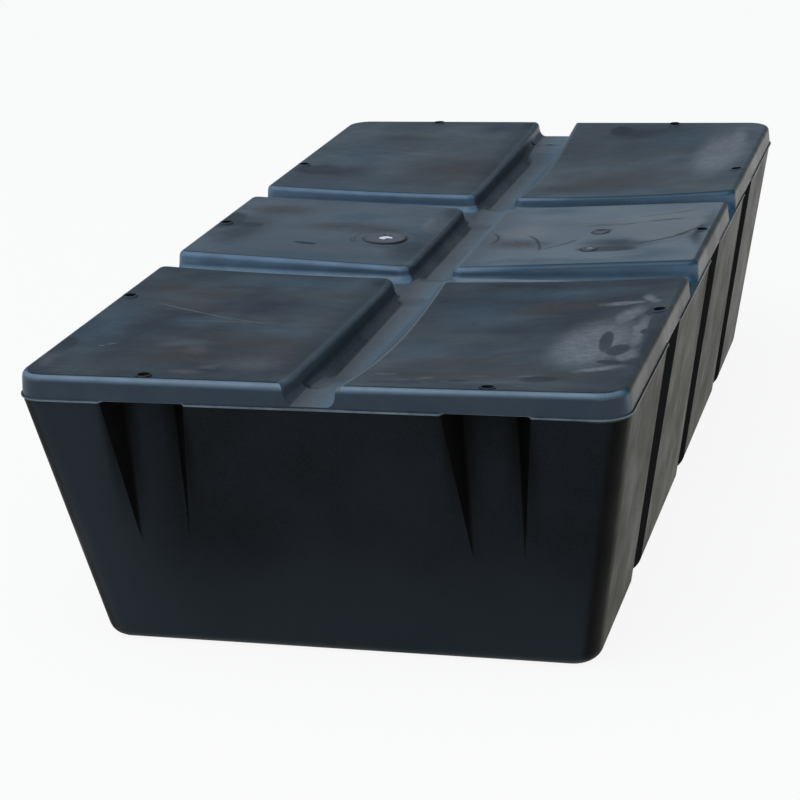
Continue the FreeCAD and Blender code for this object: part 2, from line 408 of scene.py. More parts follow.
def lift(x, y, z):
    inside = smooth_step(half_length - np.abs(y), *edge_run)
    low = floor_edge - floor_fall * (1 - np.abs(x) / hole_line) * inside - edge_foot * (1 - inside)
    share = np.clip((z - low) / (plane_height(x, y) - low), 0, 1)
    move = share * (sagged_height(x, y) - plane_height(x, y))
    above = z - floor_plane(x)
    in_channel = (np.abs(x) < channel_reach) & (np.abs(y) <= mouth_line) & (above > -skin_of_floor)
    in_channel &= (np.abs(y) < mouth_line - hair) | (z < parting + band_rim)
    flatten = np.where(in_channel, np.maximum(-above, 0), 0)
    shift = np.where(in_channel, (floor_shape(x, y) - floor_plane(x)) * (1 - share), 0)
    far_step = at_far_step(x, y, z) & (z < floor_edge - hair)
    return np.where(far_step, floor_shape(x, y) - z, move + flatten + shift)


probe = np.array([0.031, 0.0]), np.array([-0.319, -0.4]), np.array([deck_top, 0.268])
moves = (lift(*probe) * 1000).round(1)
print("crest of the right front pad and floor of the trough move", moves, "mm")

# %% [markdown]
# ## The moulding's skin
# The CAD surface is exact but has long triangles, which can't bend. Remeshing
# would give it points, but blur its edges. So a copy is cut along a grid with
# Bisect, which keeps every edge, and its exact normals ride along as corner
# data. The CAD model's own mesh stays as it was.

# %% Copy a mesh together with its normals
def copy_with_normals(source):
    normals = np.empty(len(source.loops) * 3, np.float32)
    source.corner_normals.foreach_get("vector", normals)
    normals = normals.reshape(-1, 3)
    work = bmesh.new()
    work.from_mesh(source)
    layer = work.loops.layers.float_vector.new("form_normal")
    corner = 0
    for face in work.faces:
        for loop in face.loops:
            loop[layer] = normals[corner]
            corner += 1
    return work


print("helper: copy_with_normals")

# %% Cut the top of a node's surface into a grid that can bend
bend_from = 0.262
same_point, on_the_cut, off_the_middle = 1e-6, 1e-7, 0.0003


def gridded_copy(node_name, spacing_x, spacing_y):
    work = copy_with_normals(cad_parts[node_name].data)
    bmesh.ops.remove_doubles(work, verts=work.verts, dist=same_point)
    top = [f for f in work.faces if max(v.co.z for v in f.verts) > bend_from]
    region = [*{v for f in top for v in f.verts}, *{e for f in top for e in f.edges}, *top]
    for axis, reach, spacing in ((0, half_width, spacing_x), (1, half_length, spacing_y)):
        cuts = int(reach / spacing)
        for step in range(-cuts, cuts + 1):
            point, normal = Vector(), Vector()
            point[axis], normal[axis] = step * spacing + off_the_middle, 1.0
            cut = bmesh.ops.bisect_plane(
                work, geom=region, dist=on_the_cut, plane_co=point, plane_no=normal)
            region = cut["geom"]
    mesh = bpy.data.meshes.new(node_name + "_skin")
    work.to_mesh(mesh)
    work.free()
    return mesh


print("cuts start", bend_from, "m above the ground")

# %% [markdown]
# After the move the old normals would shade the deck as if it were still flat.
# New ones could be worked out from the faces, but the roundings would lose
# their exact shading. So each stored normal is turned by the slope of the move,
# and only the channel's floor takes the normals of its own formula.

# %% Turn the normals with the surface
steepest, floor_middle, floor_rise, faces_up = 0.6, 0.022, 0.0015, 0.6


def slopes(shape, x, y, *rest, reach=1e-4):
    along_x = (shape(x + reach, y, *rest) - shape(x - reach, y, *rest)) / (2 * reach)
    along_y = (shape(x, y + reach, *rest) - shape(x, y - reach, *rest)) / (2 * reach)
    return along_x, along_y


def turned_normals(x, y, z, corners, normals):
    nx, ny, nz = normals.reshape(-1, 3).astype(float).T
    slope_x, slope_y = (np.clip(s, -steepest, steepest)[corners] for s in slopes(lift, x, y, z))
    turned = np.column_stack((nx - nz * slope_x, ny - nz * slope_y, nz))

    above = z - floor_plane(x)
    is_floor = (np.abs(x) < floor_middle) & (np.abs(y) < mouth_line + hair)
    is_floor &= (above > -skin_of_floor) & (above < floor_rise)
    is_far_step = at_far_step(x, y, z) & (np.abs(x) < floor_middle)
    follows_floor = (is_floor[corners] & (nz > faces_up)) | is_far_step[corners]
    floor_x, floor_y = slopes(floor_shape, x, y)
    along_floor = np.column_stack((-floor_x, -floor_y, np.ones(len(x))))[corners]
    turned = np.where(follows_floor[:, None], along_floor, turned)
    return turned / np.linalg.norm(turned, axis=1)[:, None]


print("normals turn by a slope of at most", steepest)

# %% [markdown]
# A bent piece is made in one go: cut, dressed, bent and told where it belongs.
# It rides on the float's only body, replaces the CAD node that it was copied
# from, and its slot says what it is made of. Both the shell and the foam go
# this way, so they bend together and never part.

# %% Bend a copy and hang it on the body
def bend(mesh):
    place = np.empty(len(mesh.vertices) * 3, np.float32)
    mesh.vertices.foreach_get("co", place)
    x, y, z = place.reshape(-1, 3).astype(float).T
    lifted = lift(x, y, z)
    moved = np.column_stack((x, y, z + lifted)).astype(np.float32)
    mesh.vertices.foreach_set("co", moved.ravel())
    corners = np.empty(len(mesh.loops), np.int32)
    mesh.loops.foreach_get("vertex_index", corners)
    normals = np.empty(len(mesh.loops) * 3, np.float32)
    mesh.attributes["form_normal"].data.foreach_get("vector", normals)
    mesh.attributes.remove(mesh.attributes["form_normal"])
    mesh.polygons.foreach_set("use_smooth", np.ones(len(mesh.polygons), bool))
    mesh.normals_split_custom_set(turned_normals(x, y, z, corners, normals))
    mesh.update()
    return [round(float(v) * 1000, 1) for v in (lifted.min(), lifted.max())]


def bent_piece(name, node_name, finishes, spacing_x, spacing_y):
    mesh = gridded_copy(node_name, spacing_x, spacing_y)
    mesh.materials.clear()
    for finish in finishes:
        mesh.materials.append(finish)
    piece = bpy.data.objects.new(name, mesh)
    bpy.context.scene.collection.objects.link(piece)
    moved = bend(mesh)
    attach(piece, "root")
    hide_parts(node_name)
    print(name, len(mesh.polygons), "faces, moved by", moved, "mm")
    return piece


print("helpers: bend, bent_piece")

# %% [markdown]
# ## Black polyethylene
# Rotomoulded polyethylene is black all through, satin, and slightly wavy. Its
# edges and walls carry painted light: pale painted highlights, bluish painted sky
# light and painted shade, greyer where worn. The flat pads hold a film of grey dust
# with brown stains, and patches of painted sheen and reflection. A photo could be
# laid over it, but would show only one side. So the finish asks which way the
# surface faces and how far it lies from a channel, and mixes the tones by that.

# %% Masks that both finishes share
channel_rim = (0.027, 0.034)


def facing(tree):
    return coordinates(tree, add_node(tree, "ShaderNodeNewGeometry", output="Normal"))


def from_pair_of_lines(tree, value, line):
    return unsigned(tree, calc(tree, "SUBTRACT", unsigned(tree, value), line))


def near_channels(tree, where):
    place = coordinates(tree, where)
    from_long = unsigned(tree, place[0])
    from_cross = from_pair_of_lines(tree, place[1], cross_channel)
    return fade_out(tree, calc(tree, "MINIMUM", from_long, from_cross), *channel_rim)


print("channels reach", channel_rim, "m from their middle lines")

# %% [markdown]
# Stains and scuffs sit where they sit on the real deck, so they are placed one
# by one. A spot is an ellipse with a ragged rim. A scratch is a thin bowed band
# that fades at its ends. Both read a position that noise has shaken a little.
# They could be painted on a picture, but these few numbers stay sharp at any
# size and are easy to move.

# %% Spots and rings
def shaken(tree, where, scale, amount):
    wobble = add_node(tree, "ShaderNodeTexNoise", None, {
        "Vector": where, "Scale": scale, "Detail": 5.0,
    }, output="Color")
    centred = add_node(tree, "ShaderNodeVectorMath", {"operation": "SUBTRACT"}, {
        0: wobble, 1: (0.5, 0.5, 0.5),
    })
    scaled = add_node(tree, "ShaderNodeVectorMath", {"operation": "SCALE"}, {
        0: centred, "Scale": amount,
    })
    return add_node(tree, "ShaderNodeVectorMath", {"operation": "ADD"}, {0: where, 1: scaled})


def local_place(tree, where, x, y, angle, size_x, size_y):
    very_deep = 1e3
    return add_node(tree, "ShaderNodeMapping", {"vector_type": "TEXTURE"}, {
        "Vector": where, "Location": (x, y, 0), "Rotation": (0, 0, math.radians(angle)),
        "Scale": (size_x, size_y, very_deep),
    })


def nearness(tree, where, x, y, size_x, size_y, angle=0.0):
    return add_node(tree, "ShaderNodeTexGradient", {"gradient_type": "SPHERICAL"}, {
        "Vector": local_place(tree, where, x, y, angle, size_x, size_y),
    }, output="Fac")


def spot(tree, where, x, y, size_x, size_y, angle=0.0, core=0.5):
    return fade_in(tree, nearness(tree, where, x, y, size_x, size_y, angle), 0.0, 1.0 - core)


def ring(tree, where, x, y, radius, width):
    near = nearness(tree, where, x, y, 2 * radius, 2 * radius)
    away = unsigned(tree, calc(tree, "MULTIPLY_ADD", near, -2.0, 1.0))
    return fade_out(tree, away, 0.3 * width / radius, width / radius)


print("helpers: shaken, local_place, nearness, spot, ring")


# %% Scratches, and the strongest of many marks
def scratch(tree, place, x, y, length, width, angle, bow=0.0):
    cos, sin = math.cos(math.radians(angle)), math.sin(math.radians(angle))
    long, thin = 2 / length, 2 / width
    along = calc(tree, "MULTIPLY_ADD", place[1], sin * long, -(x * cos + y * sin) * long)
    along = calc(tree, "MULTIPLY_ADD", place[0], cos * long, along)
    across = calc(tree, "MULTIPLY_ADD", place[1], cos * thin, (x * sin - y * cos) * thin)
    across = calc(tree, "MULTIPLY_ADD", place[0], -sin * thin, across)
    squared = times(tree, along, along)
    bent = unsigned(tree, calc(tree, "MULTIPLY_ADD", squared, -bow, across))
    return times(tree, fade_out(tree, bent, 0.3, 1.0), fade_out(tree, squared, 0.36, 1.0))


def most(tree, masks):
    total = None
    for mask in masks:
        total = mask if total is None else calc(tree, "MAXIMUM", total, mask)
    return total


def marked(tree, where, marks, core):
    return most(tree, (spot(tree, where, *mark, core=core) for mark in marks))


def scratched(tree, place, marks):
    return most(tree, (scratch(tree, place, *mark) for mark in marks))


print("helpers: scratch, most, marked, scratched")

# %% [markdown]
# ## Places on the deck
# The plugs and bolt holes are where the CAD model has them. They are written
# here once more, because a finish can't look them up.

# %% Places of the plugs and bolt holes
plug_places = {
    "fill_plug": (-0.082, -0.026),
    "vent_plug_front": (0.170, -0.074),
    "vent_plug_back": (0.170, 0.004),
}
plug_radii = {"fill_plug": 0.0255, "vent_plug_front": 0.0095, "vent_plug_back": 0.0095}
end_hole_x, end_hole_y, side_hole_y = 0.170, 0.5936, 0.322
hole_places = [(x, y) for x in (-end_hole_x, end_hole_x) for y in (-end_hole_y, end_hole_y)]
hole_places += [(x, y) for x in (-hole_line, hole_line) for y in (-side_hole_y, 0.0, side_hole_y)]
hole_reach = 0.0068
print(len(plug_places), "plugs and", len(hole_places), "bolt holes")

# %% [markdown]
# Each list holds the middle of a spot on the deck and its half sizes in metres,
# then its turn in degrees. These first ones are wide and soft: brown dust, beige
# rub marks, and painted light on the pads: bright patches of painted sheen, blue
# patches of painted sky reflection, and dark patches of painted reflection.

# %% Wide soft spots
brown_marks = (
    (-0.150, -0.525, 0.060, 0.055, 0), (-0.070, -0.505, 0.065, 0.080, 0),
    (-0.255, -0.278, 0.034, 0.024, 0), (0.134, -0.533, 0.120, 0.050, 0),
    (0.215, -0.548, 0.060, 0.034, 5), (0.252, -0.266, 0.015, 0.022, 20),
    (0.200, -0.290, 0.045, 0.022, 0), (-0.250, 0.071, 0.070, 0.036, 0),
    (0.085, -0.045, 0.055, 0.040, 0), (-0.080, 0.330, 0.100, 0.120, 0),
    (0.130, 0.310, 0.120, 0.100, 0), (-0.200, 0.500, 0.070, 0.030, 0),
    (-0.210, -0.300, 0.050, 0.040, 0), (-0.100, -0.470, 0.090, 0.050, -10),
    (0.170, -0.290, 0.080, 0.030, 5), (-0.200, -0.350, 0.060, 0.030, -20),
    (0.100, -0.480, 0.080, 0.040, 0), (-0.130, 0.010, 0.090, 0.040, 0),
)
beige_marks = (
    (-0.133, -0.577, 0.026, 0.012, 0), (-0.080, -0.540, 0.048, 0.036, 0),
    (-0.114, -0.556, 0.020, 0.012, 30), (0.057, -0.541, 0.018, 0.009, 0),
    (0.100, -0.556, 0.016, 0.011, 0), (0.200, -0.545, 0.018, 0.012, 0),
    (0.160, -0.572, 0.060, 0.008, 0), (0.060, 0.000, 0.026, 0.050, 0),
    (0.170, 0.040, 0.090, 0.014, -4), (-0.170, -0.480, 0.040, 0.016, 20),
    (0.240, 0.240, 0.040, 0.030, 0), (-0.150, -0.500, 0.018, 0.022, 30),
    (-0.286, -0.556, 0.014, 0.038, 0), (-0.180, 0.440, 0.090, 0.006, -14),
    (-0.150, 0.410, 0.080, 0.006, -12),
)
# Painted sheen: pale patches of reflected sky on the pads.
sheen_marks = (
    (0.2585, -0.336, 0.017, 0.046, -10), (0.280, -0.400, 0.012, 0.072, 0),
    (0.281, -0.477, 0.016, 0.030, 0), (0.262, -0.522, 0.032, 0.012, 20),
    (0.246, -0.286, 0.032, 0.010, 0), (0.274, -0.276, 0.008, 0.026, 20),
    (0.080, 0.010, 0.046, 0.040, 0), (0.236, -0.020, 0.040, 0.030, 20),
    (0.264, 0.080, 0.026, 0.040, 0), (0.266, 0.500, 0.020, 0.084, 0),
    (0.264, 0.400, 0.018, 0.050, 0), (-0.040, 0.060, 0.020, 0.060, 0),
    (0.275, 0.020, 0.010, 0.060, 0), (0.225, 0.075, 0.070, 0.016, 14),
    (0.240, -0.430, 0.055, 0.110, 0), (0.255, 0.430, 0.045, 0.150, 0),
    (0.235, 0.040, 0.075, 0.070, 0),
)
# Painted reflection: blue patches of reflected sky on the pads.
blue_reflection_marks = (
    (-0.272, -0.430, 0.045, 0.140, 0), (-0.120, -0.235, 0.150, 0.040, 0),
    (-0.180, -0.400, 0.050, 0.030, 20), (0.100, -0.300, 0.070, 0.080, 0),
    (0.060, -0.440, 0.040, 0.060, 0), (-0.140, -0.118, 0.150, 0.020, 0),
    (-0.060, 0.020, 0.090, 0.060, 0), (-0.140, 0.060, 0.060, 0.050, 0),
    (0.130, -0.118, 0.130, 0.018, 0), (0.240, -0.100, 0.060, 0.040, 0),
    (0.090, 0.110, 0.070, 0.030, 0), (-0.180, 0.225, 0.130, 0.026, 0),
    (-0.230, 0.390, 0.070, 0.100, 0), (0.140, 0.225, 0.130, 0.028, 0),
    (0.200, 0.520, 0.080, 0.060, 0), (-0.100, -0.430, 0.060, 0.040, -10),
    (0.160, -0.240, 0.130, 0.030, 0),
)
# Painted reflection: dark patches on the pads.
dark_reflection_marks = (
    (-0.235, -0.440, 0.060, 0.070, 0), (-0.120, -0.330, 0.110, 0.060, 0),
    (0.090, -0.262, 0.110, 0.060, 0), (0.160, -0.350, 0.110, 0.040, 0),
    (0.200, -0.050, 0.060, 0.040, 0), (-0.230, 0.300, 0.060, 0.060, 0),
    (-0.262, -0.020, 0.050, 0.110, 0), (-0.050, -0.060, 0.030, 0.090, 0),
    (-0.070, 0.560, 0.060, 0.050, 0), (0.070, 0.260, 0.060, 0.050, 0),
    (0.140, 0.560, 0.100, 0.040, 0), (0.120, -0.430, 0.120, 0.070, 0),
    (0.292, 0.000, 0.012, 0.110, 0),
)
soft_marks = (brown_marks, beige_marks, sheen_marks, blue_reflection_marks, dark_reflection_marks)
print("soft spots", [len(marks) for marks in soft_marks])

# %% [markdown]
# The next spots are small and have a clear rim: dark patches near the edge, and
# the three parts of a leaf-shaped dark mark on the right front pad.

# %% Dark spots with a clear rim
dark_marks = (
    (0.2515, -0.424, 0.008, 0.044, 6), (0.269, -0.458, 0.014, 0.022, 0),
    (0.268, -0.5005, 0.018, 0.008, -28), (0.292, -0.364, 0.008, 0.045, 0),
    (0.299, -0.440, 0.009, 0.060, 0), (0.284, -0.325, 0.010, 0.018, 0),
    (0.288, -0.398, 0.008, 0.012, 0), (0.077, -0.579, 0.030, 0.009, 0),
    (0.211, -0.558, 0.022, 0.013, 0), (0.135, -0.566, 0.012, 0.008, 0),
    (-0.293, 0.013, 0.026, 0.046, 0), (-0.262, -0.004, 0.024, 0.013, 10),
    (-0.169, -0.067, 0.017, 0.006, -8), (-0.260, 0.298, 0.038, 0.028, 8),
    (0.0996, 0.566, 0.018, 0.024, 0), (0.190, -0.075, 0.040, 0.014, 0),
    (-0.291, -0.505, 0.016, 0.030, 0),
)
print("dark spots", len(dark_marks))

# %% [markdown]
# A scratch has its middle, its length and width in metres, its turn in degrees
# and how much it bows. Pale ones are dry scuffs, dark ones are folds and
# gouges.

# %% Scratches
pale_scratches = (
    (-0.180, -0.372, 0.170, 0.0016, -22, 4.0), (-0.195, -0.365, 0.120, 0.0012, -26, -3.0),
    (-0.251, -0.501, 0.007, 0.0030, 10, 0.0), (-0.242, -0.494, 0.011, 0.0030, 30, 0.0),
    (0.098, -0.561, 0.014, 0.0026, 35, 1.0), (0.104, -0.556, 0.012, 0.0024, -20, 0.0),
    (0.057, -0.538, 0.024, 0.0026, 5, 0.5), (0.080, -0.565, 0.014, 0.0024, 0, 0.0),
    (0.190, -0.548, 0.030, 0.0020, 8, 0.0), (0.150, -0.545, 0.020, 0.0020, 0, 0.0),
    (0.200, -0.110, 0.090, 0.0060, 12, 2.0), (0.180, 0.046, 0.130, 0.0080, 4, -2.0),
    (0.240, 0.020, 0.090, 0.0080, -30, 1.0), (0.262, 0.056, 0.070, 0.0080, 40, -1.0),
    (0.215, 0.072, 0.110, 0.0070, 20, 1.0), (0.255, -0.060, 0.060, 0.0060, 35, 1.0),
    (-0.230, 0.400, 0.120, 0.0014, -16, 0.0), (-0.210, 0.420, 0.140, 0.0014, -14, 0.0),
    (-0.180, 0.380, 0.100, 0.0014, -15, 0.0), (-0.150, -0.395, 0.110, 0.0014, 4, 0.0),
)
dark_scratches = (
    (0.051, -0.010, 0.060, 0.0060, 100, 3.0), (0.104, -0.036, 0.090, 0.0050, 110, 3.0),
    (0.134, -0.050, 0.060, 0.0050, 50, 2.0), (0.250, -0.036, 0.090, 0.0070, 40, 2.0),
    (0.226, 0.050, 0.090, 0.0060, 18, -1.0), (0.276, 0.000, 0.060, 0.0070, 60, 1.0),
    (0.240, 0.084, 0.080, 0.0060, 24, 1.0), (0.171, 0.0150, 0.026, 0.0100, 0, -0.6),
    (0.240, -0.360, 0.060, 0.0024, 0, 2.0), (0.160, -0.330, 0.090, 0.0024, 4, 3.0),
    (0.120, -0.420, 0.100, 0.0024, 0, 2.0), (-0.006, -0.5505, 0.040, 0.0040, 8, 0.6),
)
print("scratches", len(pale_scratches), "pale and", len(dark_scratches), "dark")

# %% [markdown]
# ## Finish of the deck, step by step
# First come the masks. They read two things: which way the surface faces, and
# where it lies. A mask by name would need the faces sorted by hand, and these
# also fade softly over each rounding. The right foot of the long channel counts
# as flat, because the real one runs into the floor without an edge.

# %% Masks of the deck
deck_material, tree, shader, where = new_finish("black_polyethylene_deck")
normal = facing(tree)
flat = fade_in(tree, normal[2], 0.93, 0.995)
place = coordinates(tree, where)
right_foot = strip(tree, place[0], 0.008, 0.014, 0.030, 0.032)
flat = calc(tree, "MAXIMUM", flat, times(tree, right_foot, fade_in(tree, normal[2], 0.3, 0.6)))
upright = fade_out(tree, normal[2], 0.10, 0.45)
steepness = fade_out(tree, normal[2], 0.02, 0.80)
endwise = outside(tree, normal[1], 0.06, 0.35)
channel = near_channels(tree, where)
outer_side = outside(tree, place[0], 0.292, 0.300)
print("deck masks:", len(tree.nodes), "nodes")

# %% [markdown]
# The steep parts carry painted light in blue. The band at each end turns from a
# pale painted highlight at its rounding to painted shade, nearly black, below. The
# walls between the pads are painted bluest at the top, their feet take a paler
# painted light, and worn places are greyer.

# %% Painted light on the band and the walls
# Painted light: a pale painted highlight on each band's rounding, painted shade below it, and blue
# painted sky light on the walls and at their feet.
round_highlight, band_shade = (0.135, 0.205, 0.285), (0.003, 0.019, 0.040)
wall_shade_low, wall_light_high = (0.034, 0.072, 0.116), (0.078, 0.138, 0.208)
foot_light_blue, foot_shade_dark = (0.095, 0.175, 0.275), (0.006, 0.056, 0.110)
worn_grey = (0.030, 0.044, 0.060)

wear = noise(tree, where, 30.0, 5.0, 0.65)
outer_end = outside(tree, place[1], 0.585, 0.595)
band = mix(tree, steepness, round_highlight, band_shade)
wall = mix(tree, fade_in(tree, place[2], 0.284, 0.296), wall_shade_low, wall_light_high)
foot_light = mix(tree, fade_in(tree, place[0], 0.03, 0.12), foot_light_blue, foot_shade_dark)
inner = mix(tree, upright, foot_light, wall)
wall_light_and_wear = mix(tree, outer_end, inner, band)
wall_light_and_wear = mix(tree, fade_in(tree, wear, 0.35, 0.7, 0.3), wall_light_and_wear, worn_grey)
print("bloom:", len(tree.nodes), "nodes")

# %% [markdown]
# A thin line of painted shade runs where a pad's end turns over its edge. Walls
# that face sideways are painted darker, as shade: those inside go from black at
# the foot to a dull blue, and the outer ones share the warm brown painted light of
# the tub's side walls.

# %% Painted shade on the lip, and the long sides
# Painted shade: a dark line where each pad's end turns over its edge, and darker sideways walls.
lip_shade = (0.001, 0.002, 0.004)
side_shade_black, side_shade_blue = (0.003, 0.005, 0.008), (0.036, 0.055, 0.076)
# The outer sides' warm brown is painted light from the right.
side_lit_brown, side_lit_dark = (0.062, 0.060, 0.046), (0.020, 0.019, 0.013)

lip = times(tree, outside(tree, normal[1], 0.09, 0.15), within(tree, normal[1], 0.30, 0.42))
lip = times(tree, lip, within(tree, normal[0], 0.15, 0.40))
top = fade_in(tree, place[2], 0.287, 0.290)
wall_light_and_wear = mix(tree, times(tree, lip, top), wall_light_and_wear, lip_shade)
wall_height = fade_in(tree, place[2], 0.277, 0.292)
sideways = mix(tree, wall_height, side_shade_black, side_shade_blue)
side_tone = mix(tree, fade_in(tree, place[2], 0.2785, 0.2815), side_lit_brown, side_lit_dark)
sideways = mix(tree, outer_side, sideways, side_tone)
wall_light_and_wear = mix(tree, endwise, sideways, wall_light_and_wear)
print("lip and sides:", len(tree.nodes), "nodes")

# %% [markdown]
# Next the marks are turned into masks. Wide ones are shaken loosely, small ones
# finely, so that no rim is a clean ellipse. A film of dust lies over all of it,
# in broad clouds with streaks across.

# %% Film and marks on the pads
rough_place = shaken(tree, where, 55.0, 0.014)
loose_place = shaken(tree, where, 9.0, 0.05)
broad = noise(tree, where, 5.0, 5.0, 0.6, 0.6)
streaks = noise(tree, stretched(tree, where, (3.0, 14.0, 3.0), 0.2), 3.0, 6.0, 0.65)
film = fade_in(tree, plus(tree, broad, times(tree, streaks, 0.6)), 0.62, 1.02)
speck = ramp(tree, noise(tree, where, 160.0, 3.0, 0.6), 0.35, 0.75, 0.7, 1.25)
brown = marked(tree, loose_place, brown_marks, 0.1)
beige = marked(tree, rough_place, beige_marks, 0.1)
thin_place = shaken(tree, where, 60.0, 0.003)
dark = marked(tree, thin_place, dark_marks, 0.72)
blue_reflection = marked(tree, loose_place, blue_reflection_marks, 0.1)
sheen = marked(tree, rough_place, sheen_marks, 0.35)
dark_reflection = marked(tree, loose_place, dark_reflection_marks, 0.1)
print("marks:", len(tree.nodes), "nodes")

# %% [markdown]
# The tones are laid over each other like glazes: the film, the painted sheen that
# makes the far and the middle pads paler, the painted dark reflections, then the
# stains together with the painted sheen and sky reflections, and last the small
# dark spots. Fine specks break up the stains and the sheen. Left of the long
# channel the pads' shoulders carry painted shade, nearly black.

# %% Tones of the pads
clean_black, filmed_grey = (0.002, 0.007, 0.014), (0.034, 0.042, 0.050)
# Painted sheen: the far pads and the middle pads are paler where they mirror the sky.
far_sheen, middle_sheen_blue = (0.060, 0.074, 0.088), (0.094, 0.126, 0.160)
middle_sheen_pale, reflection_black = (0.138, 0.168, 0.200), (0.000, 0.005, 0.014)
spot_black, shoulder_shade = (0.002, 0.005, 0.012), (0.000, 0.004, 0.010)
# Real brown dust and beige rubs, mixed with painted sheen and painted blue reflection.
stains_and_sheen = (
    (blue_reflection, 0.65, (0.028, 0.062, 0.094)),
    (brown, 0.8, (0.045, 0.036, 0.033)),
    (beige, 0.8, (0.070, 0.066, 0.070)),
    (sheen, 0.85, (0.158, 0.172, 0.190)),
)

pad = mix(tree, film, clean_black, filmed_grey)
pad = mix(tree, fade_in(tree, place[1], -0.20, -0.10, 0.45), pad, far_sheen)
middle = within(tree, place[1], 0.12, 0.16)
pad = mix(tree, times(tree, middle, 0.5), pad, middle_sheen_blue)
lighter = times(tree, middle, fade_in(tree, place[0], 0.03, 0.08))
pad = mix(tree, times(tree, lighter, 0.75), pad, middle_sheen_pale)
# Painted dark reflection over the film.
pad = mix(tree, times(tree, dark_reflection, 0.8), pad, reflection_black)
for mask, strength, tone in stains_and_sheen:
    pad = mix(tree, times(tree, mask, times(tree, speck, strength)), pad, tone)
pad = mix(tree, times(tree, dark, 0.9), pad, spot_black)
# Painted shade on the shoulders left of the long channel.
shoulder = strip(tree, place[0], -0.054, -0.034, -0.032, -0.030, 0.55)
pad = mix(tree, shoulder, pad, shoulder_shade)
print("pads:", len(tree.nodes), "nodes")

# %% [markdown]
# Round the fill plug two thin rings were scored, now worn away in places, and
# each plug has a dark seam where its weld meets the deck. They join the
# scratches, because all of them are narrow and lie on top of the stains.

# %% Scratches, scored rings and seams
scored_radii, scored_width = (0.037, 0.041), 0.0016
seam_gap, seam_width = 0.0008, 0.0022

thin = coordinates(tree, thin_place)
pale = scratched(tree, thin, pale_scratches)
gouge = scratched(tree, thin, dark_scratches)
rings = [ring(tree, thin_place, *plug_places["fill_plug"], r, scored_width) for r in scored_radii]
broken = fade_in(tree, noise(tree, where, 45.0, 2.0), 0.48, 0.58)
seams = [
    ring(tree, where, *plug_places[name], plug_radii[name] + seam_gap, seam_width)
    for name in plug_places
]
gouge = most(tree, [gouge, times(tree, most(tree, rings), broken), *seams])
print("scratches:", len(tree.nodes), "nodes")

# %% [markdown]
# The channels' floors are even in tone. It is grey on the left of the long
# channel and blue on its right, and the cross channels darken to the right.
# Gouges and pale scuffs go over pads and floors.

# %% Floors of the channels
channel_grey, channel_blue = (0.082, 0.092, 0.104), (0.086, 0.130, 0.176)
cross_dark, cross_pale = (0.055, 0.090, 0.125), (0.080, 0.122, 0.165)
cross_right = (0.020, 0.050, 0.082)
gouge_black, scuff_pale = (0.008, 0.011, 0.015), (0.150, 0.165, 0.175)

blue_side = fade_in(tree, plus(tree, place[0], times(tree, broad, 0.02)), 0.0, 0.028)
channel_tone = mix(tree, blue_side, channel_grey, channel_blue)
floor_tone = mix(tree, film, cross_dark, cross_pale)
floor_tone = mix(tree, fade_in(tree, place[0], 0.05, 0.14, 0.85), floor_tone, cross_right)
in_long = within(tree, place[0], 0.032, 0.040)
pad = mix(tree, channel, pad, mix(tree, in_long, floor_tone, channel_tone))
pad = mix(tree, times(tree, gouge, 0.8), pad, gouge_black)
pad = mix(tree, times(tree, pale, 0.8), pad, scuff_pale)
print("floors:", len(tree.nodes), "nodes")

# %% [markdown]
# Three lines follow the moulding. The crest along the right of the long channel
# carries a painted highlight. Painted shade fills the left foot of that channel
# with a ragged edge. The parting line under the band carries a thin pale flash,
# where the two halves of the mould met. Inside the bolt holes painted shade makes
# it plain black.

# %% Crest, bolt holes and flash
bore = marked(tree, where, ((*hole, hole_reach, hole_reach) for hole in hole_places), 0.9)
crest = strip(tree, place[0], 0.0310, 0.0320, 0.0332, 0.0344)
crest = times(tree, crest, fade_in(tree, normal[2], 0.4, 0.6))
less_behind = calc(tree, "SUBTRACT", 1.0, fade_in(tree, place[1], -0.25, 0.0, 0.6))
crest = times(tree, crest, less_behind)
flash = times(tree, calc(tree, "COMPARE", place[2], parting, 0.0012), endwise)
print("crest and flash:", len(tree.nodes), "nodes")

# %% All tones of the deck together
# Painted light: a highlight on the crest, and painted shade in the channel's left foot and in the
# bolt holes.
crest_highlight, crease_shade = (0.160, 0.175, 0.185), (0.008, 0.015, 0.023)
flash_pale, bore_shade = (0.150, 0.200, 0.240), (0.001, 0.001, 0.001)

colour = mix(tree, flat, wall_light_and_wear, pad)
colour = mix(tree, times(tree, crest, 0.6), colour, crest_highlight)
ragged = plus(tree, place[0], times(tree, noise(tree, where, 70.0, 5.0, 0.7), 0.010))
foot = strip(tree, ragged, -0.0330, -0.0270, -0.0205, -0.0140)
from_crossing = from_pair_of_lines(tree, place[1], cross_channel)
foot = times(tree, foot, fade_in(tree, from_crossing, 0.026, 0.040))
foot = times(tree, foot, fade_out(tree, place[2], 0.284, 0.290))
colour = mix(tree, times(tree, foot, 0.75), colour, crease_shade)
colour = mix(tree, times(tree, flash, ramp(tree, wear, 0.3, 0.6, 0.3, 0.8)), colour, flash_pale)
colour = mix(tree, bore, colour, bore_shade)
tree.links.new(colour, shader.inputs["Base Color"])
print("colour of the deck:", len(tree.nodes), "nodes")

# %% [markdown]
# Gloss tells as much as colour. The plastic is satin with smoother and duller
# clouds, brown dust is duller, and the dark lip and the holes hardly shine. Its
# low waves and fine grain are too small for the mesh, so a bump carries them.

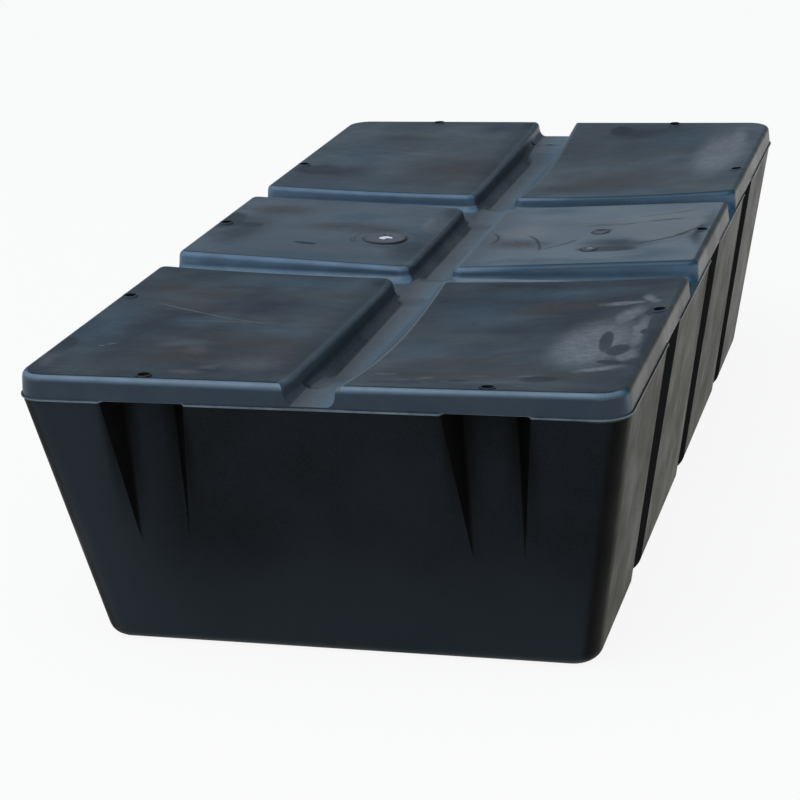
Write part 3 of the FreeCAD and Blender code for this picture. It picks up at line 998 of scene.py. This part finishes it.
# %% Gloss and relief of the deck
deck_gloss = 0.4
rough = ramp(tree, noise(tree, where, 9.0, 5.0, 0.6), 0.3, 0.7, 0.34, 0.48)
edge_line = times(tree, times(tree, lip, top), endwise)
rough = calc(tree, "MAXIMUM", rough, times(tree, most(tree, [edge_line, bore]), 0.9))
rough = plus(tree, rough, times(tree, times(tree, brown, flat), 0.12))
tree.links.new(rough, shader.inputs["Roughness"])
shader.inputs["Specular IOR Level"].default_value = deck_gloss

ripple = noise(tree, where, 22.0, 3.0, 0.5)
grain = noise(tree, where, 650.0, 2.0, 0.5)
add_relief(tree, shader, plus(tree, ripple, times(tree, grain, 0.05)), 0.45, 0.003)
print("finish of the deck:", len(tree.nodes), "nodes")

# %% [markdown]
# ## Finish of the tub
# Below the parting line the plastic is painted nearly black, darker than the
# deck: painted shade, as the end walls lean down and away from the sky. It is a
# little greyer at the foot, a painted reflection of the floor, and greyer at the
# left, and darkest in the flutes of the end walls, where shade is painted in. The
# long side walls are painted a warm brown, the light from the right, with streaks
# and clouds in it. The walls could be cut into pieces of their own, but a mask by
# the way they face needs no seam.

# %% Masks of the tub
side_taper = 0.2
tub_material, tree, shader, where = new_finish("black_polyethylene_tub")
normal = facing(tree)
place = coordinates(tree, where)
from_taper = calc(tree, "SUBTRACT", unsigned(tree, place[0]), times(tree, place[2], side_taper))
outer_side = fade_in(tree, from_taper, 0.196, 0.225)
sideways = calc(
    tree, "MAXIMUM", outside(tree, normal[0], 0.86, 0.985), fade_in(tree, place[2], 0.2755, 0.2765))
sideways = times(tree, sideways, outer_side)
print("tub masks:", len(tree.nodes), "nodes")

# %% Tones of the tub's end walls
# The end walls are painted darker than the deck, as shade; the grey at the foot is a painted
# reflection of the floor.
tub_shade_black, tub_shade_grey = (0.0040, 0.0052, 0.0068), (0.0105, 0.0135, 0.0170)
floor_reflection_grey, left_grey = (0.018, 0.025, 0.031), (0.024, 0.031, 0.038)
corner_grey = (0.014, 0.016, 0.016)
# Painted shade in the flutes and on their side faces.
flute_shade_black, flute_side_shade = (0.0006, 0.0008, 0.0010), (0.0002, 0.0004, 0.0006)
flute_line = 0.170

broad = noise(tree, where, 6.0, 4.0, 0.55)
fine = noise(tree, where, 420.0, 2.0, 0.6)
tone = fade_in(tree, plus(tree, broad, times(tree, fine, 0.5)), 0.5, 1.0)
colour = mix(tree, tone, tub_shade_black, tub_shade_grey)
colour = mix(tree, fade_out(tree, place[2], 0.0, 0.16, 0.85), colour, floor_reflection_grey)
colour = mix(tree, ramp(tree, place[0], -0.255, -0.130, 0.85, 0.05), colour, left_grey)
from_flute = from_pair_of_lines(tree, place[0], flute_line)
in_flute = strip(tree, from_flute, 0.008, 0.026, 0.038, 0.050)
in_flute = times(tree, in_flute, fade_in(tree, place[2], 0.12, 0.27, 0.95))
colour = mix(tree, in_flute, colour, flute_shade_black)
colour = mix(tree, outside(tree, normal[0], 0.30, 0.60), colour, flute_side_shade)
at_corner = fade_out(tree, unsigned(tree, place[1]), 0.48, 0.53, 0.7)
colour = mix(tree, times(tree, outer_side, at_corner), colour, corner_grey)
print("end walls:", len(tree.nodes), "nodes")

# %% Painted light on the side walls, gloss and relief
# The side walls' warm brown is painted light from the right, paler towards the back; its streaks
# and clouds vary at random.
side_light_low, side_light_brown = (0.023, 0.022, 0.014), (0.066, 0.063, 0.042)
side_light_pale = (0.150, 0.146, 0.124)
tub_gloss = 0.05

streaks = noise(tree, stretched(tree, where, (1.0, 40.0, 2.0)), 3.0, 5.0, 0.6)
tone = plus(tree, tone, ramp(tree, streaks, 0.35, 0.7, -0.3, 0.3))
side_light = mix(tree, tone, side_light_low, side_light_brown)
side_light = mix(tree, fade_in(tree, place[1], 0.05, 0.55, 0.7), side_light, side_light_pale)
tree.links.new(mix(tree, sideways, colour, side_light), shader.inputs["Base Color"])
rough = ramp(tree, noise(tree, where, 14.0, 4.0, 0.6), 0.3, 0.7, 0.42, 0.58)
tree.links.new(rough, shader.inputs["Roughness"])
shader.inputs["Specular IOR Level"].default_value = tub_gloss
ripple = noise(tree, where, 18.0, 3.0, 0.5)
add_relief(tree, shader, plus(tree, ripple, times(tree, fine, 0.06)), 0.3, 0.003)
print("finish of the tub:", len(tree.nodes), "nodes")

# %% [markdown]
# ## Dress the moulding
# Now the shell's copy is cut, bent and given both finishes. Each face takes one
# of them by its height: below the parting line it belongs to the tub, unless it
# is a channel's floor, which dips lower than that line.

# %% Make the skin
grid_across, grid_along = 0.008, 0.012
channel_band, inner_x, inner_y = 0.04, 0.29, 0.59

finishes = [deck_material, tub_material]
skin = bent_piece("moulded_skin", "shell", finishes, grid_across, grid_along)
centres = np.empty(len(skin.data.polygons) * 3, np.float32)
skin.data.polygons.foreach_get("center", centres)
x, y, z = np.abs(centres.reshape(-1, 3).T)
in_channels = (np.minimum(x, np.abs(y - cross_channel)) < channel_band) & (z > bend_from)
in_channels &= (x < inner_x) & (y < inner_y)
is_tub = ((z < parting - 0.001) & ~in_channels).astype(np.int32)
skin.data.polygons.foreach_set("material_index", is_tub)
print("faces of the tub", int(is_tub.sum()))

# %% [markdown]
# ## Foam
# The foam is white beads pressed together. It shows only in the fill plug's
# open middle, with a painted shadow of the opening's rim at one side. Modelling
# each bead would cost thousands of faces that nobody sees, so Voronoi cells draw
# them. The foam bends with the skin, because it lies against it.

# %% Finish of the foam
beads_per_metre = 300.0
bead_white, seam_grey, opening_shadow_blue = (0.92, 0.93, 0.94), (0.76, 0.78, 0.80), (0.020, 0.040, 0.080)
fill_x, fill_y = plug_places["fill_plug"]
# A painted shadow of the opening's rim, dark blue, on the foam.
shadow_x, shadow_y, shadow_reach = fill_x + 0.0045, fill_y - 0.0040, 0.0060

foam_finish, tree, shader, where = new_finish("white_foam_beads")
beads = add_node(tree, "ShaderNodeTexVoronoi", None, {"Vector": where, "Scale": beads_per_metre})
colour = mix(tree, fade_in(tree, beads, 0.2, 0.7), bead_white, seam_grey)
opening_shadow = spot(tree, shaken(tree, where, 200.0, 0.001), shadow_x, shadow_y, shadow_reach, shadow_reach)
tree.links.new(mix(tree, opening_shadow, colour, opening_shadow_blue), shader.inputs["Base Color"])
add_relief(tree, shader, beads, 0.6, 0.001, invert=True)
shader.inputs["Roughness"].default_value = 0.9
print("finish of the foam:", len(tree.nodes), "nodes")

# %% Make the foam block
foam_grid = 0.03
foam = bent_piece("foam_block", "foam_core", [foam_finish], foam_grid, foam_grid)
print("foam block", [round(v, 3) for v in foam.dimensions])

# %% [markdown]
# ## Plugs
# The plugs keep their CAD meshes and only get a finish. The fill plug was welded
# in and is a dull blue grey, with a painted shadow along one side of its rim. The
# two vent plugs are darker, each with painted shade along its rim. One has a
# painted pale glint in its middle and the other painted shade at its far side.
# They could have three finishes, but they differ only in tones, so one function
# makes all three.

# %% One finish for every plug
# Painted shadow under the raised side of each plug's rim.
rim_shadow_black = (0.004, 0.005, 0.007)
plug_gloss = 0.4


def plug_finish(name, place, radius, dark, pale, lean, details):
    material, tree, shader, where = new_finish(name)
    tone = fade_in(tree, noise(tree, where, 120.0, 5.0, 0.65), 0.3, 0.7)
    colour = mix(tree, tone, dark, pale)
    across = coordinates(tree, local_place(tree, where, *place, 0, radius, radius))
    toward = calc(
        tree, "SUBTRACT", times(tree, across[0], lean[0]), times(tree, across[1], -lean[1]))
    rim = ring(tree, shaken(tree, where, 80.0, 0.002), *place, 0.97 * radius, 0.13 * radius)
    rim = times(tree, rim, ramp(tree, toward, -0.1, 0.6, 0.25, 1.0))
    colour = mix(tree, times(tree, rim, 0.9), colour, rim_shadow_black)
    for x, y, size_x, size_y, shade in details:
        near = shaken(tree, where, 200.0, 0.001)
        mark = spot(tree, near, place[0] + x, place[1] + y, size_x, size_y)
        colour = mix(tree, mark, colour, shade)
    tree.links.new(colour, shader.inputs["Base Color"])
    tree.links.new(ramp(tree, tone, 0.0, 1.0, 0.40, 0.62), shader.inputs["Roughness"])
    shader.inputs["Specular IOR Level"].default_value = plug_gloss
    add_relief(tree, shader, tone, 0.25, 0.001)
    return material


print("helper: plug_finish")

# %% [markdown]
# Each plug has its dark and pale tone, the side on which the painted shadow
# under its rim falls, and its own small marks of painted shade and highlight. A
# mark holds its place from the plug's middle, its half sizes in metres and its
# tone.

# %% Finish of the plugs
# Painted shade near a rim, and a painted highlight.
far_rim_shade, glint = (0.003, 0.004, 0.006), (0.180, 0.240, 0.300)
plug_looks = {
    "fill_plug": (
        (0.064, 0.076, 0.096), (0.112, 0.124, 0.150), (0.7, -0.7),
        ((-0.004, 0.011, 0.003, 0.0022, far_rim_shade), (0.003, 0.0125, 0.002, 0.0018, far_rim_shade))),
    "vent_plug_front": (
        (0.036, 0.046, 0.058), (0.080, 0.096, 0.114), (-0.7, 0.7),
        ((0.001, 0.001, 0.0050, 0.0040, glint),)),
    "vent_plug_back": (
        (0.060, 0.076, 0.092), (0.100, 0.120, 0.140), (0.0, 1.0),
        ((0.0, 0.0068, 0.0100, 0.0062, far_rim_shade),)),
}
for node_name, looks in plug_looks.items():
    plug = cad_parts[node_name]
    finish = plug_finish(node_name + "_worn", plug_places[node_name], plug_radii[node_name], *looks)
    plug.data.materials.clear()
    plug.data.materials.append(finish)
print("plugs dressed", list(plug_looks))
